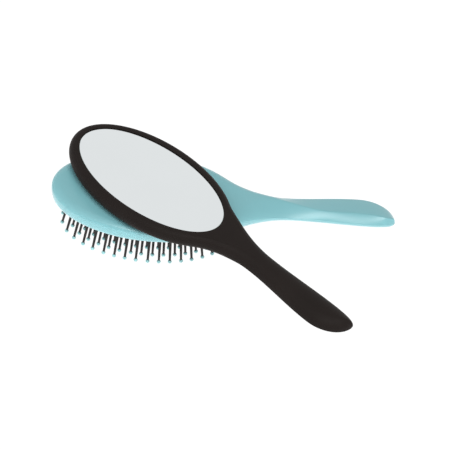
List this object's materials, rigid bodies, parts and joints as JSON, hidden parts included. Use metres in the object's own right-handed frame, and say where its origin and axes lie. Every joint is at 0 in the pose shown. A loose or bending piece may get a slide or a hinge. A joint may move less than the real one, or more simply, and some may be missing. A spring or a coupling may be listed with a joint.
{
  "type": "oval hair brush with swivel mirror",
  "caption": "Oval cushioned styling brush whose back carries a hand mirror of the same outline, which swivels flat over it about the middle of both heads.",
  "frame": {"origin": "on the swivel axis, in the front face of the mirror glass", "axes": "+X from the heads towards the tip of the brush's handle, +Z out of the mirror glass, the pins point to -Z"},
  "size_m": [0.2232, 0.1565, 0.0477],
  "materials": {
    "teal_plastic": "satin moulded ABS",
    "soft_touch_black": "soft-touch coated ABS",
    "silvered_glass": "polished, bevelled edge",
    "pin_nylon": "moulded nylon with coloured round tips",
    "cushion_rubber": "matt air cushion",
    "foam": "closed-cell foam",
    "acetal": "natural",
    "bush_brass": "turned",
    "zinc_steel": "zinc plated"
  },
  "bodies": {
    "brush": {"brush_back_shell": "teal_plastic", "brush_handle_cover": "teal_plastic", "cushion_pad": "cushion_rubber", "cushion_ring": "teal_plastic", "handle_cover_screw_1": "zinc_steel", "handle_cover_screw_2": "zinc_steel", "pin_row_1": "pin_nylon", "pin_row_2": "pin_nylon", "pin_row_3": "pin_nylon", "pin_rows_inner": "pin_nylon", "pivot_bush": "bush_brass", "thrust_washer": "acetal", "wave_washer": "zinc_steel"},
    "mirror": {"back_cover_screw_1": "zinc_steel", "back_cover_screw_2": "zinc_steel", "back_cover_screw_3": "zinc_steel", "back_cover_screw_4": "zinc_steel", "back_cover_screw_5": "zinc_steel", "back_cover_screw_6": "zinc_steel", "glass_foam": "foam", "mirror_back_cover": "soft_touch_black", "mirror_frame": "soft_touch_black", "mirror_glass": "silvered_glass", "pivot_screw": "zinc_steel", "pivot_spindle": "zinc_steel", "stop_washer": "zinc_steel"}
  },
  "joints": [
    {"name": "mirror_swivel", "type": "hinge", "parent": "brush", "child": "mirror", "pos_m": [0, 0, 0], "axis": [0, 0, 1], "range_deg": [-139.5, 40.5]}
  ]
}
